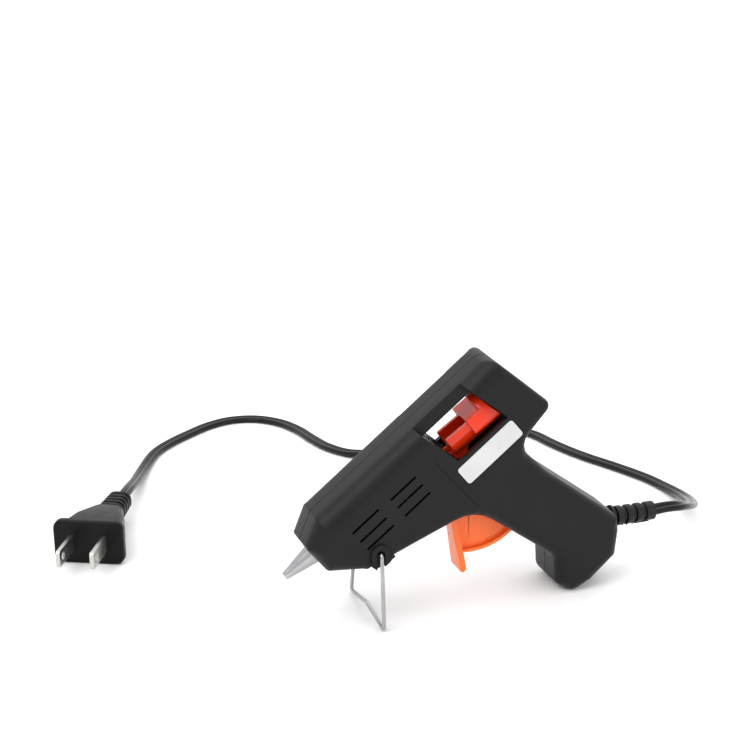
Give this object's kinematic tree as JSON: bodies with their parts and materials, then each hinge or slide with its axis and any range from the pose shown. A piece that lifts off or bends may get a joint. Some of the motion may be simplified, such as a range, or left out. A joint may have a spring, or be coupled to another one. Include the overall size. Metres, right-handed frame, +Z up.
{
  "type": "hot glue gun",
  "caption": "Small trigger-fed hot glue gun in a two-part case, with a folding wire stand, sliding stick carriage, ribbed strain relief, flat two-core lead and two-blade plug.",
  "frame": {"origin": "on the floor under the middle of the gun without its lead, resting on its stand and the heel of the handle", "axes": "+X from the nozzle towards the handle's back, +Y across the seam to the plain half, +Z up"},
  "size_m": [0.2459, 0.2277, 0.089],
  "materials": {
    "case_plastic": "fine matt texture",
    "steel": "bright",
    "label": "blank, satin",
    "nozzle_metal": "polished",
    "cast_metal": "as cast",
    "heater_ceramic": "matt",
    "film": "smooth film",
    "contact_brass": "satin",
    "sleeve_rubber": "matt silicone",
    "collar_plastic": "matt",
    "trigger_plastic": "slightly translucent, satin",
    "carriage_plastic": "glossy",
    "stand_wire": "bright plated",
    "lead_rubber": "satin",
    "wire_red": "smooth sleeving",
    "wire_blue": "smooth sleeving",
    "lead_vinyl": "smooth vinyl",
    "tie_plastic": "smooth",
    "plug_vinyl": "satin vinyl",
    "blade_brass": "nickel plated"
  },
  "bodies": {
    "case": {"left_shell": "case_plastic", "right_shell": "case_plastic", "case_screws": "steel", "rating_label": "label", "nozzle": "nozzle_metal", "melt_chamber": "cast_metal", "heater_element": "heater_ceramic", "heater_insulation": "film", "upper_electrode": "contact_brass", "lower_electrode": "contact_brass", "inlet_sleeve": "sleeve_rubber", "sleeve_clamp": "steel", "rear_collar": "collar_plastic", "trigger_pivot": "steel", "return_spring": "steel", "strain_relief": "lead_rubber", "cord_clamp": "collar_plastic", "clamp_screws": "steel", "lead_live": "wire_red", "lead_neutral": "wire_blue", "wire_crimps": "steel", "cord_run": "lead_vinyl", "cord_coil": "lead_vinyl", "cord_tail": "lead_vinyl", "cord_tie": "tie_plastic", "plug_body": "plug_vinyl", "plug_blades": "blade_brass"},
    "trigger": {"trigger": "trigger_plastic", "drive_pin": "steel"},
    "carriage": {"feed_carriage": "carriage_plastic"},
    "stand": {"wire_stand": "stand_wire"}
  },
  "joints": [
    {"name": "trigger_pull", "type": "hinge", "parent": "case", "child": "trigger", "pos_m": [0.00688, 0, 0.04164], "axis": [0, -1, 0], "range_deg": [0, 32], "stiffness_Nm_per_rad": 0.1, "springref_deg": -14.32, "deforming": ["return_spring"]},
    {"name": "carriage_feed", "type": "slide", "parent": "case", "child": "carriage", "axis": [-0.8254, 0, -0.5645], "range_m": [0, 0.0059]},
    {"name": "stand_fold", "type": "hinge", "parent": "case", "child": "stand", "pos_m": [-0.02982, 0, 0.02668], "axis": [0, -1, 0], "range_deg": [0, 98]}
  ],
  "couplings": [
    {"joint": "carriage_feed", "follows": "trigger_pull", "m_per_rad": 0.01037}
  ]
}
